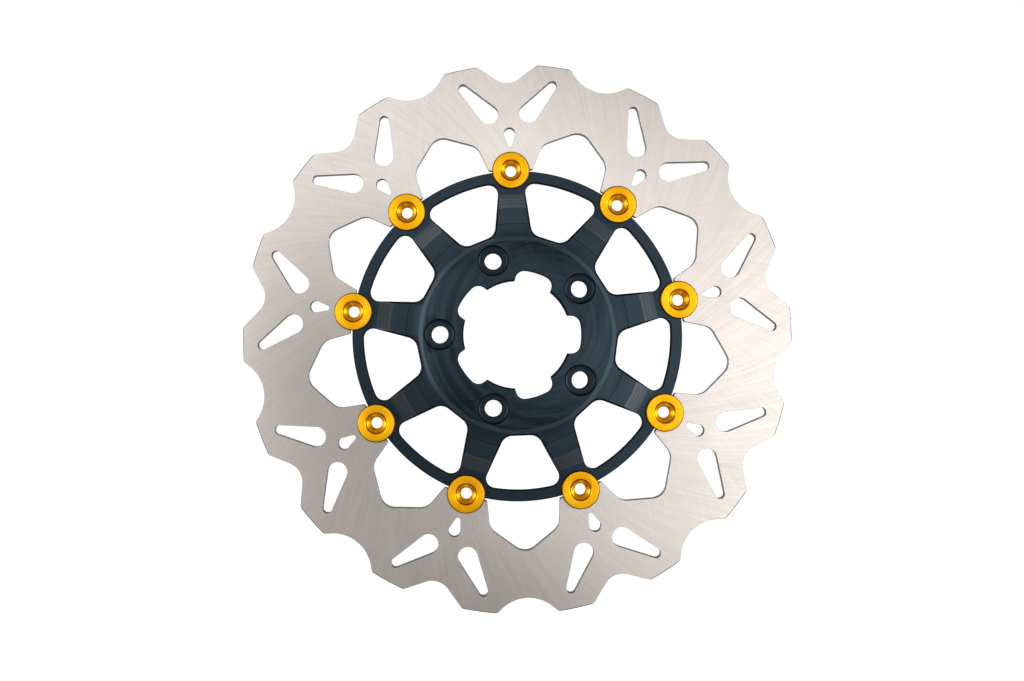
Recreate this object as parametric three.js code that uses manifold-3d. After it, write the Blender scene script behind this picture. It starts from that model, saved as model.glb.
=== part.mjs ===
// Floating brake disc for a motorcycle's front wheel.
//
// A wave-edged steel friction ring hangs on nine drive bobbins in half-round notches of a black
// aluminium carrier. Behind the disc each bobbin holds a wave washer, a flat washer and a
// retaining clip, so the ring can float a little along the axle. Millimetres, +Z up: the disc lies
// on the back face of its hub, which is z = 0, with the axle along Z through the origin.

import * as THREE from "three";
import { mergeVertices } from "three/addons/utils/BufferGeometryUtils.js";
import Module from "manifold-3d";

const wasm = await Module();
wasm.setup();

// ---------------------------------------------------------------- driving dimensions

const STATIONS = 9;
const FIRST_STATION = 270; // direction of the first bobbin, in degrees

const BOLTS = 5;
const FIRST_BOLT = 270;
const BOLT_CIRCLE_RADIUS = 41.275;
const BOLT_HOLE_RADIUS = 4.6;
const BOLT_SEAT_RADIUS = 8.4;
const BOLT_SEAT_WALL_DEPTH = 1.15;
const BOLT_SEAT_WALL_DRAFT = 0.35;
const BOLT_SEAT_DEPTH = 2.2; // from the hub's front face to the lip of the hole
const BOLT_SEAT_BOWL_RADIUS = 6.3; // where the bowl turns from steep to shallow
const BOLT_SEAT_BOWL_DEPTH = 1.95;

const RING_THICKNESS = 5;
const RING_RADIUS = 146.05;
const NARROW_VALLEY_DEPTH = 12.75; // from the rim to where the two flanks would meet
const NARROW_VALLEY_HALF_ANGLE = 6.35;
const NARROW_VALLEY_FILLET = 10.6;
const WIDE_VALLEY_DEPTH = 16.85;
const WIDE_VALLEY_HALF_ANGLE = 6.29;
const WIDE_VALLEY_FILLET = 20.5;
const LOBE_CORNER_FILLET = 3;

const TAB_SETBACK = 0.95; // from the bobbin circle out to a tab's end
const TAB_CHEEK = 4.47; // width of a tab's end on each side of its notch
const TAB_CORNER_FILLET = 1.5;
const RING_WINDOW_SHOULDER_HEIGHT = 15.05; // these two are measured from the bobbin circle
const RING_WINDOW_APEX_HEIGHT = 27.25;
const RING_WINDOW_SHOULDER_ANGLE = 10.2; // from the middle of the window
const RING_WINDOW_FILLET = 8;

// A slot and a drop each have two round ends: where they lie from the station's line and from the
// ring's rim or the bobbin circle, and their radius.
const SLOT_INNER_END = { aside: 10.85, fromRim: 27.1, radius: 5.25 };
const SLOT_OUTER_END = { aside: 24.15, fromRim: 12.65, radius: 2.5 };
const DROP_INNER_END = { fromBobbins: 14.35, radius: 1.3 };
const DROP_OUTER_END = { fromBobbins: 20.25, radius: 3.1 };

const BOBBIN_CIRCLE_RADIUS = 88.05;
const BOBBIN_SHANK_RADIUS = 7;
const NOTCH_CLEARANCE = 0.3; // between a bobbin's shank and the half-round notches
const FLANGE_WIDTH = 3; // how far the flange stands out over the shank
const FLANGE_THICKNESS = 1.6;
const FLANGE_GAP = 0.3; // between the flange and the ring's front face
const FLANGE_EDGE_ROUND = 0.6;
const DISH_RIM_RADIUS = 5.9;
const DISH_RADIUS = 5.05;
const DISH_STEP_DEPTH = 0.8;
const BOBBIN_BORE_RADIUS = 2.95;
const BOBBIN_BORE_LENGTH = 1;
const BOBBIN_BORE_DEPTH = 5; // from the flange's face to the narrow bore
const BOBBIN_RECESS_RADIUS = 4.3; // the wider bore behind the narrow one
const BOBBIN_STANDOFF = 0.35; // height of a bobbin's back end over the hub's back face
const BOBBIN_TAIL = 0.6; // length of shank behind the clip's groove
const BOBBIN_TAIL_CHAMFER = 0.25;

const STACK_GAP = 0.1; // between the pieces stacked behind the disc
const WAVE_WASHER_HEIGHT = 1;
const WAVE_WASHER_THICKNESS = 0.4;
const WAVE_WASHER_WIDTH = 2.6; // how far a washer stands out over the shank
const WAVES = 3;
const FLAT_WASHER_THICKNESS = 0.6;
const FLAT_WASHER_WIDTH = 2.4;
const WASHER_BORE_CLEARANCE = 0.25;
const CLIP_THICKNESS = 0.8;
const CLIP_SIDE_GAP = 0.05;
const CLIP_GROOVE_DEPTH = 1.1;
const CLIP_BORE_CLEARANCE = 0.25; // more than the arc tolerance
const CLIP_WIDTH = 2.1;
const CLIP_HALF_GAP_ANGLE = 16;
const CLIP_LUG_LENGTH = 1.6;
const CLIP_LUG_ANGLE = 20;

const CARRIER_SETBACK = 0.3; // from the bobbin circle in to the carrier's edge
const CARRIER_EDGE_CHAMFER = 0.3;
const CARRIER_RIM_WIDTH = 5.75;
const SLOPE_RISE = 1;
const SPOKE_RISE = 0.4;
const FLANGE_TO_SLOPE = 3.05; // from a bobbin's flange in to the foot of the slope
// Where the steps of a spoke lie, from 0 at the hub's shoulder to 1 at the foot of the slope.
const SLOPE_TOP = 0.7021;
const SPOKE_STEP = 0.3191;
const HUB_SHOULDER_RADIUS = 51.5;
const HUB_SHOULDER_WIDTH = 1.2;
const HUB_RISE = 2; // height of the hub's front face over the carrier's rim
const HUB_BACK_RADIUS = 50.5;
const HUB_BACK_FOOT_WIDTH = 2.5;
const HUB_BACK_SLOPE_WIDTH = 4;
const HUB_BACK_SLOPE_RISE = 1.1;

const HUB_BORE_RADIUS = 28.75;
const HUB_BORE_CHAMFER = 0.6;
const POCKET_DEPTH = 5.95;
const POCKET_HALF_WIDTH = 10.1;
const POCKET_FILLET = 5;

const WINDOW_HUB_WALL = 1.95; // from the hub's shoulder to a window's straight inner edge
const WINDOW_INNER_HALF_WIDTH = 8.73;
const WINDOW_FLANK_SLOPE = 0.507; // sideways growth for each millimetre outwards
const WINDOW_INNER_FILLET = 6.5;
const WINDOW_OUTER_FILLET = 5;
const WINDOW_FLARE_DEPTH = 0.6; // how far below the rim's face the flared edge starts
const WINDOW_FLARE_SLOPE = 0.6;

const ARC_TOLERANCE = 0.15; // how far a facet may lie inside its arc
const CARRIER_SEGMENTS = 54;
const BOBBIN_SEGMENTS = 12;
const WASHER_SEGMENTS = 12;
const HOLE_SEGMENTS = 18;
const PAST_FACE = 2; // how far a cutter runs past a face

// ---------------------------------------------------------------- sizes that follow

const SECTOR = 360 / STATIONS;
const NOTCH_RADIUS = BOBBIN_SHANK_RADIUS + NOTCH_CLEARANCE;
const FLANGE_RADIUS = BOBBIN_SHANK_RADIUS + FLANGE_WIDTH;
const GROOVE_RADIUS = BOBBIN_SHANK_RADIUS - CLIP_GROOVE_DEPTH;
const WASHER_BORE_RADIUS = BOBBIN_SHANK_RADIUS + WASHER_BORE_CLEARANCE;

// Heights, from the hub's back face up through the stack behind the disc.
const BOBBIN_BACK = BOBBIN_STANDOFF;
const GROOVE_BACK = BOBBIN_BACK + BOBBIN_TAIL;
const CLIP_BACK = GROOVE_BACK + CLIP_SIDE_GAP;
const CLIP_FRONT = CLIP_BACK + CLIP_THICKNESS;
const GROOVE_FRONT = CLIP_FRONT + CLIP_SIDE_GAP;
const FLAT_WASHER_BACK = CLIP_FRONT + STACK_GAP;
const WAVE_WASHER_BACK = FLAT_WASHER_BACK + FLAT_WASHER_THICKNESS + STACK_GAP;
const RING_BACK = WAVE_WASHER_BACK + WAVE_WASHER_HEIGHT + STACK_GAP;
const RING_FRONT = RING_BACK + RING_THICKNESS;
const FLANGE_BACK = RING_FRONT + FLANGE_GAP;
const FLANGE_FRONT = FLANGE_BACK + FLANGE_THICKNESS;
const HUB_FRONT = RING_FRONT + HUB_RISE;

// Radii, from the bobbin circle and the hub.
const TAB_END_RADIUS = BOBBIN_CIRCLE_RADIUS + TAB_SETBACK;
const RING_WINDOW_SHOULDER_RADIUS = BOBBIN_CIRCLE_RADIUS + RING_WINDOW_SHOULDER_HEIGHT;
const RING_WINDOW_APEX_RADIUS = BOBBIN_CIRCLE_RADIUS + RING_WINDOW_APEX_HEIGHT;
const CARRIER_RADIUS = BOBBIN_CIRCLE_RADIUS - CARRIER_SETBACK;
const CARRIER_RIM_INNER_RADIUS = CARRIER_RADIUS - CARRIER_RIM_WIDTH;
const SLOPE_FOOT_RADIUS = BOBBIN_CIRCLE_RADIUS - FLANGE_RADIUS - FLANGE_TO_SLOPE;
const POCKET_RADIUS = HUB_BORE_RADIUS + POCKET_DEPTH;
const WINDOW_INNER_EDGE = HUB_SHOULDER_RADIUS + WINDOW_HUB_WALL;

// ---------------------------------------------------------------- outlines

const radians = THREE.MathUtils.degToRad;

function polar(radius, degrees) {
  return new THREE.Vector2(radius * Math.cos(radians(degrees)), radius * Math.sin(radians(degrees)));
}

// Points along an arc, both ends included, no facet further than the tolerance inside it.
function arcPoints(centre, radius, startDegrees, endDegrees) {
  const widest = 2 * Math.acos(1 - Math.min(ARC_TOLERANCE / radius, 0.5));
  const turn = radians(endDegrees - startDegrees);
  const steps = Math.max(2, Math.ceil(Math.abs(turn) / widest));
  const points = [];
  for (let i = 0; i <= steps; i++) {
    const angle = radians(startDegrees) + (turn * i) / steps;
    points.push(new THREE.Vector2(Math.cos(angle), Math.sin(angle)).multiplyScalar(radius).add(centre));
  }
  return points;
}

// One corner of an outline, rounded by an arc that is tangent to both of its sides.
function roundedCorner(before, corner, after, radius) {
  if (!radius) return [corner.clone()];
  const back = before.clone().sub(corner).normalize();
  const ahead = after.clone().sub(corner).normalize();
  const halfAngle = Math.acos(THREE.MathUtils.clamp(back.dot(ahead), -1, 1)) / 2;
  const inward = back.clone().add(ahead).normalize();
  const centre = inward.multiplyScalar(radius / Math.sin(halfAngle)).add(corner);
  const reach = radius / Math.tan(halfAngle);
  const first = back.multiplyScalar(reach).add(corner).sub(centre);
  const last = ahead.multiplyScalar(reach).add(corner).sub(centre);
  const start = THREE.MathUtils.radToDeg(first.angle());
  const sweep = THREE.MathUtils.radToDeg(Math.atan2(first.cross(last), first.dot(last)));
  return arcPoints(centre, radius, start, start + sweep);
}

// A closed outline from its corners, each { point, fillet }.
function roundedOutline(corners) {
  return corners.flatMap(({ point, fillet }, i) => {
    const before = corners[(i + corners.length - 1) % corners.length].point;
    const after = corners[(i + 1) % corners.length].point;
    return roundedCorner(before, point, after, fillet);
  });
}

// The outline round two circles and their outer tangents. Each end is { aside, out, radius }, with
// out measured from the axle along the station's line.
function dropOutline(inner, outer, side, degrees) {
  const along = polar(1, degrees);
  const across = polar(side, degrees - 90);
  const place = (end) => along.clone().multiplyScalar(end.out).addScaledVector(across, end.aside);
  const from = place(inner);
  const to = place(outer);
  const heading = THREE.MathUtils.radToDeg(to.clone().sub(from).angle());
  const wrap = THREE.MathUtils.radToDeg(Math.acos((inner.radius - outer.radius) / from.distanceTo(to)));
  return [
    ...arcPoints(from, inner.radius, heading + wrap, heading + 360 - wrap),
    ...arcPoints(to, outer.radius, heading - wrap, heading + wrap),
  ];
}

function stationAngles() {
  return Array.from({ length: STATIONS }, (_, i) => FIRST_STATION + i * SECTOR);
}

// ---------------------------------------------------------------- solids

function extruded(outline, holes, back, front) {
  const shape = new THREE.Shape(outline);
  shape.holes = holes.map((hole) => new THREE.Path(hole));
  const geometry = new THREE.ExtrudeGeometry(shape, { depth: front - back, bevelEnabled: false });
  return geometry.translate(0, 0, back);
}

// A ring turned about Z from a closed profile of [radius, height] pairs, listed anticlockwise.
function turned(profile, segments) {
  const points = [...profile, profile[0]].map(([radius, height]) => new THREE.Vector2(radius, height));
  return new THREE.LatheGeometry(points, segments).rotateX(Math.PI / 2);
}

function toSolid(geometry) {
  const bare = geometry.clone();
  bare.deleteAttribute("normal");
  bare.deleteAttribute("uv");
  const merged = mergeVertices(bare, 1e-4);
  const vertProperties = merged.attributes.position.array;
  const triVerts = new Uint32Array(merged.index.array);
  return new wasm.Manifold(new wasm.Mesh({ numProp: 3, vertProperties, triVerts }));
}

function toGeometry(body) {
  const { vertProperties, triVerts } = body.getMesh();
  const geometry = new THREE.BufferGeometry();
  geometry.setAttribute("position", new THREE.BufferAttribute(vertProperties, 3));
  geometry.setIndex(new THREE.BufferAttribute(triVerts, 1));
  geometry.computeVertexNormals();
  return geometry;
}

// ---------------------------------------------------------------- friction ring

// Eighteen lobes: a narrow valley over each bobbin and a wide one between two bobbins.
function ringOuterOutline() {
  const corners = stationAngles().flatMap((station) => {
    const lobeStart = station + NARROW_VALLEY_HALF_ANGLE;
    const lobeEnd = station + SECTOR / 2 - WIDE_VALLEY_HALF_ANGLE;
    const lobeMiddle = (lobeStart + lobeEnd) / 2;
    const nextStart = station + SECTOR / 2 + WIDE_VALLEY_HALF_ANGLE;
    const nextEnd = station + SECTOR - NARROW_VALLEY_HALF_ANGLE;
    const nextMiddle = (nextStart + nextEnd) / 2;
    return [
      { point: polar(RING_RADIUS - NARROW_VALLEY_DEPTH, station), fillet: NARROW_VALLEY_FILLET },
      { point: polar(RING_RADIUS, lobeStart), fillet: LOBE_CORNER_FILLET },
      { point: polar(RING_RADIUS, lobeMiddle), fillet: 0 },
      { point: polar(RING_RADIUS, lobeEnd), fillet: LOBE_CORNER_FILLET },
      { point: polar(RING_RADIUS - WIDE_VALLEY_DEPTH, station + SECTOR / 2), fillet: WIDE_VALLEY_FILLET },
      { point: polar(RING_RADIUS, nextStart), fillet: LOBE_CORNER_FILLET },
      { point: polar(RING_RADIUS, nextMiddle), fillet: 0 },
      { point: polar(RING_RADIUS, nextEnd), fillet: LOBE_CORNER_FILLET },
    ];
  });
  return roundedOutline(corners);
}

// The half-round notch in a tab's end: it opens where its circle crosses the tab end's circle.
function tabNotchPoints(station) {
  const centre = polar(BOBBIN_CIRCLE_RADIUS, station);
  const squares = TAB_END_RADIUS ** 2 + BOBBIN_CIRCLE_RADIUS ** 2 - NOTCH_RADIUS ** 2;
  const mouthOut = squares / (2 * BOBBIN_CIRCLE_RADIUS) - BOBBIN_CIRCLE_RADIUS;
  const mouthAngle = THREE.MathUtils.radToDeg(Math.acos(mouthOut / NOTCH_RADIUS));
  return arcPoints(centre, NOTCH_RADIUS, station - mouthAngle, station + mouthAngle);
}

// Nine tabs reach in to the bobbins, with a house-shaped window between each two.
function ringInnerOutline() {
  const tabHalfWidth = NOTCH_RADIUS + TAB_CHEEK;
  const tabHalfAngle = THREE.MathUtils.radToDeg(Math.asin(tabHalfWidth / TAB_END_RADIUS));
  return stationAngles().flatMap((station) => {
    const middle = station + SECTOR / 2;
    const corners = [
      { point: polar(TAB_END_RADIUS, station + tabHalfAngle / 2) },
      { point: polar(TAB_END_RADIUS, station + tabHalfAngle), fillet: TAB_CORNER_FILLET },
      {
        point: polar(RING_WINDOW_SHOULDER_RADIUS, middle - RING_WINDOW_SHOULDER_ANGLE),
        fillet: RING_WINDOW_FILLET,
      },
      { point: polar(RING_WINDOW_APEX_RADIUS, middle), fillet: RING_WINDOW_FILLET },
      {
        point: polar(RING_WINDOW_SHOULDER_RADIUS, middle + RING_WINDOW_SHOULDER_ANGLE),
        fillet: RING_WINDOW_FILLET,
      },
      { point: polar(TAB_END_RADIUS, station + SECTOR - tabHalfAngle), fillet: TAB_CORNER_FILLET },
      { point: polar(TAB_END_RADIUS, station + SECTOR - tabHalfAngle / 2) },
    ];
    const rounded = corners.slice(1, -1).flatMap(({ point, fillet }, i) => {
      return roundedCorner(corners[i].point, point, corners[i + 2].point, fillet);
    });
    return [...tabNotchPoints(station), ...rounded];
  });
}

function frictionRing() {
  const slotEnd = ({ aside, fromRim, radius }) => ({ aside, out: RING_RADIUS - fromRim, radius });
  const slotEnds = [slotEnd(SLOT_INNER_END), slotEnd(SLOT_OUTER_END)];
  const dropEnd = ({ fromBobbins, radius }) => {
    return { aside: 0, out: BOBBIN_CIRCLE_RADIUS + fromBobbins, radius };
  };
  const dropEnds = [dropEnd(DROP_INNER_END), dropEnd(DROP_OUTER_END)];
  const holes = [ringInnerOutline()];
  for (const station of stationAngles()) {
    holes.push(dropOutline(...slotEnds, 1, station));
    holes.push(dropOutline(...slotEnds, -1, station));
    holes.push(dropOutline(...dropEnds, 1, station));
  }
  return extruded(ringOuterOutline(), holes, RING_BACK, RING_FRONT);
}

// ---------------------------------------------------------------- carrier

function carrierBlank() {
  const slopeFront = RING_FRONT + SLOPE_RISE;
  const footRadius = HUB_BACK_RADIUS + HUB_BACK_FOOT_WIDTH;
  const stepRadius = (share) => THREE.MathUtils.lerp(HUB_SHOULDER_RADIUS, SLOPE_FOOT_RADIUS, share);
  const profile = [
    [HUB_BORE_RADIUS + HUB_BORE_CHAMFER, 0],
    [HUB_BACK_RADIUS, 0],
    [footRadius, RING_BACK - HUB_BACK_SLOPE_RISE],
    [footRadius + HUB_BACK_SLOPE_WIDTH, RING_BACK],
    [CARRIER_RADIUS - CARRIER_EDGE_CHAMFER, RING_BACK],
    [CARRIER_RADIUS, RING_BACK + CARRIER_EDGE_CHAMFER],
    [CARRIER_RADIUS, RING_FRONT - CARRIER_EDGE_CHAMFER],
    [CARRIER_RADIUS - CARRIER_EDGE_CHAMFER, RING_FRONT],
    [SLOPE_FOOT_RADIUS, RING_FRONT],
    [stepRadius(SLOPE_TOP), slopeFront],
    [stepRadius(SPOKE_STEP), slopeFront + SPOKE_RISE],
    [HUB_SHOULDER_RADIUS, slopeFront + SPOKE_RISE],
    [HUB_SHOULDER_RADIUS - HUB_SHOULDER_WIDTH, HUB_FRONT],
    [HUB_BORE_RADIUS + HUB_BORE_CHAMFER, HUB_FRONT],
    [HUB_BORE_RADIUS, HUB_FRONT - HUB_BORE_CHAMFER],
    [HUB_BORE_RADIUS, HUB_BORE_CHAMFER],
  ];
  return turned(profile, CARRIER_SEGMENTS);
}

function carrierWindowOutline() {
  const halfWidthAt = (out) => WINDOW_INNER_HALF_WIDTH + WINDOW_FLANK_SLOPE * (out - WINDOW_INNER_EDGE);
  // The flank meets the rim's inner circle where out² + halfWidthAt(out)² is its radius squared.
  const a = 1 + WINDOW_FLANK_SLOPE ** 2;
  const offset = WINDOW_INNER_HALF_WIDTH - WINDOW_FLANK_SLOPE * WINDOW_INNER_EDGE;
  const b = WINDOW_FLANK_SLOPE * offset;
  const c = offset ** 2 - CARRIER_RIM_INNER_RADIUS ** 2;
  const outerCorner = (Math.sqrt(b * b - a * c) - b) / a;
  const outerHalfWidth = halfWidthAt(outerCorner);
  const corner = (x, y, fillet) => ({ point: new THREE.Vector2(x, y), fillet });
  const rimAngle = THREE.MathUtils.radToDeg(Math.atan2(outerHalfWidth, outerCorner));
  const rimPoint = (share) => ({ point: polar(CARRIER_RIM_INNER_RADIUS, share * rimAngle), fillet: 0 });
  return roundedOutline([
    corner(WINDOW_INNER_EDGE, -WINDOW_INNER_HALF_WIDTH, WINDOW_INNER_FILLET),
    corner(outerCorner, -outerHalfWidth, WINDOW_OUTER_FILLET),
    rimPoint(-1 / 3),
    rimPoint(0),
    rimPoint(1 / 3),
    corner(outerCorner, outerHalfWidth, WINDOW_OUTER_FILLET),
    corner(WINDOW_INNER_EDGE, WINDOW_INNER_HALF_WIDTH, WINDOW_INNER_FILLET),
  ]);
}

// A straight cutter for the window and a flared one that widens it towards the front face, so the
// sloping edge grows with the height of the face that it meets.
function windowCutter() {
  const outline = carrierWindowOutline();
  const flareBack = RING_FRONT - WINDOW_FLARE_DEPTH;
  const flareHeight = HUB_FRONT + PAST_FACE - flareBack;
  const straight = extruded(outline, [], -PAST_FACE, HUB_FRONT + PAST_FACE);
  const flared = new THREE.ExtrudeGeometry(new THREE.Shape(outline), {
    depth: PAST_FACE,
    bevelEnabled: true,
    bevelThickness: flareHeight,
    bevelSize: WINDOW_FLARE_SLOPE * flareHeight,
    bevelSegments: 1,
  });
  return toSolid(straight).add(toSolid(flared.translate(0, 0, flareBack + flareHeight)));
}

function pocketCutter() {
  const cornerOut = Math.sqrt(POCKET_RADIUS ** 2 - POCKET_HALF_WIDTH ** 2);
  const mouthOut = HUB_BORE_RADIUS - POCKET_HALF_WIDTH;
  const corner = (x, y, fillet) => ({ point: new THREE.Vector2(x, y), fillet });
  const outline = roundedOutline([
    corner(mouthOut, -POCKET_HALF_WIDTH, 0),
    corner(cornerOut, -POCKET_HALF_WIDTH, POCKET_FILLET),
    corner(POCKET_RADIUS, 0, 0),
    corner(cornerOut, POCKET_HALF_WIDTH, POCKET_FILLET),
    corner(mouthOut, POCKET_HALF_WIDTH, 0),
  ]);
  return toSolid(extruded(outline, [], -PAST_FACE, HUB_FRONT + PAST_FACE));
}

function notchCutter() {
  const height = HUB_FRONT + 2 * PAST_FACE;
  const cylinder = new THREE.CylinderGeometry(NOTCH_RADIUS, NOTCH_RADIUS, height, HOLE_SEGMENTS);
  return toSolid(cylinder.rotateX(Math.PI / 2).translate(BOBBIN_CIRCLE_RADIUS, 0, HUB_FRONT / 2));
}

// A bolt's hole in a round dish: a steep wall, then a bowl that runs down to the lip of the hole.
function boltCutter() {
  const profile = [
    [0, -PAST_FACE],
    [BOLT_HOLE_RADIUS, -PAST_FACE],
    [BOLT_HOLE_RADIUS, HUB_FRONT - BOLT_SEAT_DEPTH],
    [BOLT_SEAT_BOWL_RADIUS, HUB_FRONT - BOLT_SEAT_BOWL_DEPTH],
    [BOLT_SEAT_RADIUS - BOLT_SEAT_WALL_DRAFT, HUB_FRONT - BOLT_SEAT_WALL_DEPTH],
    [BOLT_SEAT_RADIUS, HUB_FRONT],
    [BOLT_SEAT_RADIUS, HUB_FRONT + PAST_FACE],
    [0, HUB_FRONT + PAST_FACE],
  ];
  return toSolid(turned(profile, HOLE_SEGMENTS).translate(BOLT_CIRCLE_RADIUS, 0, 0));
}

function cutAround(body, cutter, count, firstDegrees) {
  let rest = body;
  for (let i = 0; i < count; i++) {
    rest = rest.subtract(cutter.rotate([0, 0, firstDegrees + (i * 360) / count]));
  }
  return rest;
}

function carrier() {
  let body = toSolid(carrierBlank());
  body = cutAround(body, windowCutter(), STATIONS, FIRST_STATION + SECTOR / 2);
  body = cutAround(body, notchCutter(), STATIONS, FIRST_STATION);
  body = cutAround(body, boltCutter(), BOLTS, FIRST_BOLT);
  body = cutAround(body, pocketCutter(), BOLTS, FIRST_BOLT + 180 / BOLTS);
  return toGeometry(body);
}

// ---------------------------------------------------------------- bobbins and what they hold

function bobbin() {
  const boreFront = FLANGE_FRONT - BOBBIN_BORE_DEPTH;
  const boreBack = boreFront - BOBBIN_BORE_LENGTH;
  return turned(
    [
      [BOBBIN_RECESS_RADIUS, BOBBIN_BACK],
      [BOBBIN_SHANK_RADIUS - BOBBIN_TAIL_CHAMFER, BOBBIN_BACK],
      [BOBBIN_SHANK_RADIUS, BOBBIN_BACK + BOBBIN_TAIL_CHAMFER],
      [BOBBIN_SHANK_RADIUS, GROOVE_BACK],
      [GROOVE_RADIUS, GROOVE_BACK],
      [GROOVE_RADIUS, GROOVE_FRONT],
      [BOBBIN_SHANK_RADIUS, GROOVE_FRONT],
      [BOBBIN_SHANK_RADIUS, FLANGE_BACK],
      [FLANGE_RADIUS, FLANGE_BACK],
      [FLANGE_RADIUS, FLANGE_FRONT - FLANGE_EDGE_ROUND],
      [FLANGE_RADIUS - FLANGE_EDGE_ROUND, FLANGE_FRONT],
      [DISH_RIM_RADIUS, FLANGE_FRONT],
      [DISH_RADIUS, FLANGE_FRONT - DISH_STEP_DEPTH],
      [BOBBIN_BORE_RADIUS, boreFront],
      [BOBBIN_BORE_RADIUS, boreBack],
      [BOBBIN_RECESS_RADIUS, boreBack],
    ],
    BOBBIN_SEGMENTS,
  );
}

// A thin ring whose flat profile rises and falls as it goes round.
function waveWasher() {
  const middle = WAVE_WASHER_BACK + WAVE_WASHER_HEIGHT / 2;
  const rise = (WAVE_WASHER_HEIGHT - WAVE_WASHER_THICKNESS) / 2;
  const back = middle - WAVE_WASHER_THICKNESS / 2;
  const front = middle + WAVE_WASHER_THICKNESS / 2;
  const outer = BOBBIN_SHANK_RADIUS + WAVE_WASHER_WIDTH;
  const geometry = turned(
    [
      [WASHER_BORE_RADIUS, back],
      [outer, back],
      [outer, front],
      [WASHER_BORE_RADIUS, front],
    ],
    WASHER_SEGMENTS,
  );
  const position = geometry.attributes.position;
  for (let i = 0; i < position.count; i++) {
    const angle = Math.atan2(position.getY(i), position.getX(i));
    position.setZ(i, position.getZ(i) + rise * Math.cos(WAVES * angle));
  }
  return geometry;
}

function flatWasher() {
  const front = FLAT_WASHER_BACK + FLAT_WASHER_THICKNESS;
  const outer = BOBBIN_SHANK_RADIUS + FLAT_WASHER_WIDTH;
  return turned(
    [
      [WASHER_BORE_RADIUS, FLAT_WASHER_BACK],
      [outer, FLAT_WASHER_BACK],
      [outer, front],
      [WASHER_BORE_RADIUS, front],
    ],
    BOBBIN_SEGMENTS,
  );
}

// An open ring with a lug at each end for the pliers.
function retainingClip() {
  const centre = new THREE.Vector2();
  const inner = GROOVE_RADIUS + CLIP_BORE_CLEARANCE;
  const outer = inner + CLIP_WIDTH;
  const lug = outer + CLIP_LUG_LENGTH;
  const lugEnd = CLIP_HALF_GAP_ANGLE + CLIP_LUG_ANGLE;
  const outline = [
    polar(lug, CLIP_HALF_GAP_ANGLE),
    polar(lug, lugEnd),
    ...arcPoints(centre, outer, lugEnd, 360 - lugEnd),
    polar(lug, -lugEnd),
    polar(lug, -CLIP_HALF_GAP_ANGLE),
    ...arcPoints(centre, inner, 360 - CLIP_HALF_GAP_ANGLE, CLIP_HALF_GAP_ANGLE),
  ];
  return extruded(outline, [], CLIP_BACK, CLIP_FRONT);
}

// ---------------------------------------------------------------- finishes and assembly

function finish(color, roughness, metalness) {
  return new THREE.MeshStandardMaterial({ color, roughness, metalness });
}

const groundSteel = finish(0xcfc8c0, 0.35, 1);
const blackAnodised = finish(0x27363e, 0.45, 0.6);
const goldAnodised = finish(0xf5ae1c, 0.3, 0.9);
const springSteel = finish(0x8e8f90, 0.4, 1);
const platedSteel = finish(0xb9b8b4, 0.35, 1);
const phosphatedSteel = finish(0x34332f, 0.6, 0.6);

function piece(name, geometry, material) {
  const mesh = new THREE.Mesh(geometry, material);
  mesh.name = name;
  return mesh;
}

const brakeDisc = new THREE.Group();
brakeDisc.add(piece("friction_ring", frictionRing(), groundSteel));
brakeDisc.add(piece("carrier", carrier(), blackAnodised));

stationAngles().forEach((degrees, i) => {
  const number = i + 1;
  const station = new THREE.Group();
  station.rotation.z = radians(degrees);
  const onBobbinAxis = new THREE.Group();
  onBobbinAxis.position.x = BOBBIN_CIRCLE_RADIUS;
  onBobbinAxis.add(piece(`bobbin_${number}`, bobbin(), goldAnodised));
  onBobbinAxis.add(piece(`wave_washer_${number}`, waveWasher(), springSteel));
  onBobbinAxis.add(piece(`flat_washer_${number}`, flatWasher(), platedSteel));
  onBobbinAxis.add(piece(`retaining_clip_${number}`, retainingClip(), phosphatedSteel));
  station.add(onBobbinAxis);
  brakeDisc.add(station);
});

export default brakeDisc;
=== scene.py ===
# %% [markdown]
# # A floating brake disc
#
# The disc is a thin wavy ring of ground steel that hangs on nine gold drive buttons round a black
# carrier. The engineering model already fixes where every piece is and how it moves, so this
# script loads it as a frame, and then gives each piece its finer shape and its finish. All lengths
# are metres, and MM turns a drawing's millimetres into metres.

# %% Load the frame
from math import acos, atan2, cos, pi, radians, sin, sqrt, tan

import bmesh
import bpy
from mathutils import Matrix, Vector


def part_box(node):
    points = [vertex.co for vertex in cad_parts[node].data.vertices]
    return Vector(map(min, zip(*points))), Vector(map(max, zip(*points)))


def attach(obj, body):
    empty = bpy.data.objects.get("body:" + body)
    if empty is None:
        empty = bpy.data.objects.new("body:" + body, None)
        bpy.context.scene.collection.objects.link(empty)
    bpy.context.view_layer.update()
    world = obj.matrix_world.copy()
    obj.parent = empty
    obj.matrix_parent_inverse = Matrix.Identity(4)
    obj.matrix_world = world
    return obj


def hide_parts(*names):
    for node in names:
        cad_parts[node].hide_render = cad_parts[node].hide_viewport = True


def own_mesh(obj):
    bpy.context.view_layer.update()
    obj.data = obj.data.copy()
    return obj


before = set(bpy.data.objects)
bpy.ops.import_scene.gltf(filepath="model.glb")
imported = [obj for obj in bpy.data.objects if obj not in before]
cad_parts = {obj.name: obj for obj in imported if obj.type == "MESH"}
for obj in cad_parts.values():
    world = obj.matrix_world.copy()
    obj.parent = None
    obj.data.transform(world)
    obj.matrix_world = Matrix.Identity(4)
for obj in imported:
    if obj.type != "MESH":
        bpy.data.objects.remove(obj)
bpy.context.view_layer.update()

MM = 0.001
STATIONS = 9
FIRST_STATION = radians(270)
stations = [radians(270 + 40 * i) for i in range(STATIONS)]

# %% [markdown]
# ## The heights
#
# Everything in a brake disc is stacked along the axle. Each height is read from the frame's
# pieces, so the fine pieces land exactly where the plain ones are.

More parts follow.
